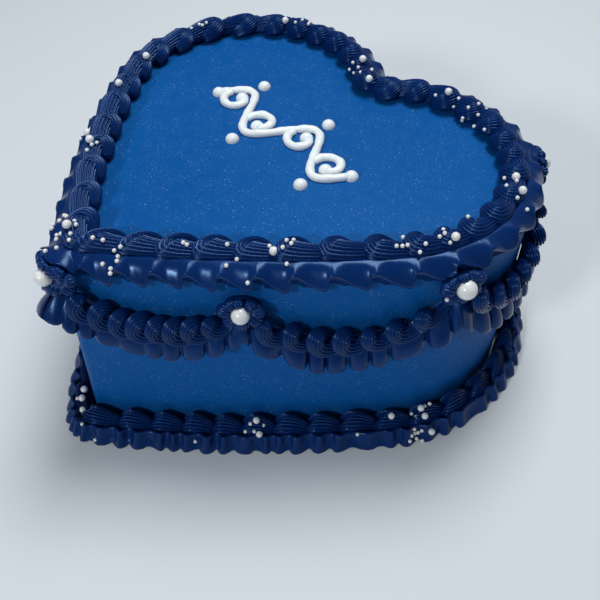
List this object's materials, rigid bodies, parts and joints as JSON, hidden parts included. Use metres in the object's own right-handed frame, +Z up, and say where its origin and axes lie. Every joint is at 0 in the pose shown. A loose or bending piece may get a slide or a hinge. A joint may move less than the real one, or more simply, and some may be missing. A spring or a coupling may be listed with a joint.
{
  "type": "heart shaped cake",
  "caption": "Uncut heart shaped layer cake in smooth blue icing, with navy piped shells, ruffles and draped swags, pearl drops at the joints and a piped scroll on top.",
  "frame": {"origin": "middle of the cake's footprint box, on the surface it stands on", "axes": "+Z up; the heart's own axis runs along Y, with the tip at -Y and the notch at +Y; +X is towards the right lobe"},
  "size_m": [0.2312, 0.2134, 0.1045],
  "materials": {
    "blue_icing": "satin",
    "navy_piping": "satin gloss",
    "sugar_pearl": "soft sheen"
  },
  "bodies": {
    "root": {"cake": "blue_icing", "top_shells": "navy_piping", "top_ruffle": "navy_piping", "bottom_shells": "navy_piping", "bottom_ruffle": "navy_piping", "swag_ruffle_1": "navy_piping", "swag_ruffle_2": "navy_piping", "swag_ruffle_3": "navy_piping", "swag_ruffle_4": "navy_piping", "swag_ruffle_5": "navy_piping", "swag_ruffle_6": "navy_piping", "swag_ruffle_7": "navy_piping", "swag_ruffle_8": "navy_piping", "swag_shells_1": "navy_piping", "swag_shells_2": "navy_piping", "swag_shells_3": "navy_piping", "swag_shells_4": "navy_piping", "swag_shells_5": "navy_piping", "swag_shells_6": "navy_piping", "swag_shells_7": "navy_piping", "swag_shells_8": "navy_piping", "rosette_1": "navy_piping", "rosette_2": "navy_piping", "rosette_3": "navy_piping", "rosette_4": "navy_piping", "rosette_5": "navy_piping", "rosette_6": "navy_piping", "rosette_7": "navy_piping", "rosette_8": "navy_piping", "pearl_1": "sugar_pearl", "pearl_2": "sugar_pearl", "pearl_3": "sugar_pearl", "pearl_4": "sugar_pearl", "pearl_5": "sugar_pearl", "pearl_6": "sugar_pearl", "pearl_7": "sugar_pearl", "pearl_8": "sugar_pearl"}
  },
  "joints": []
}
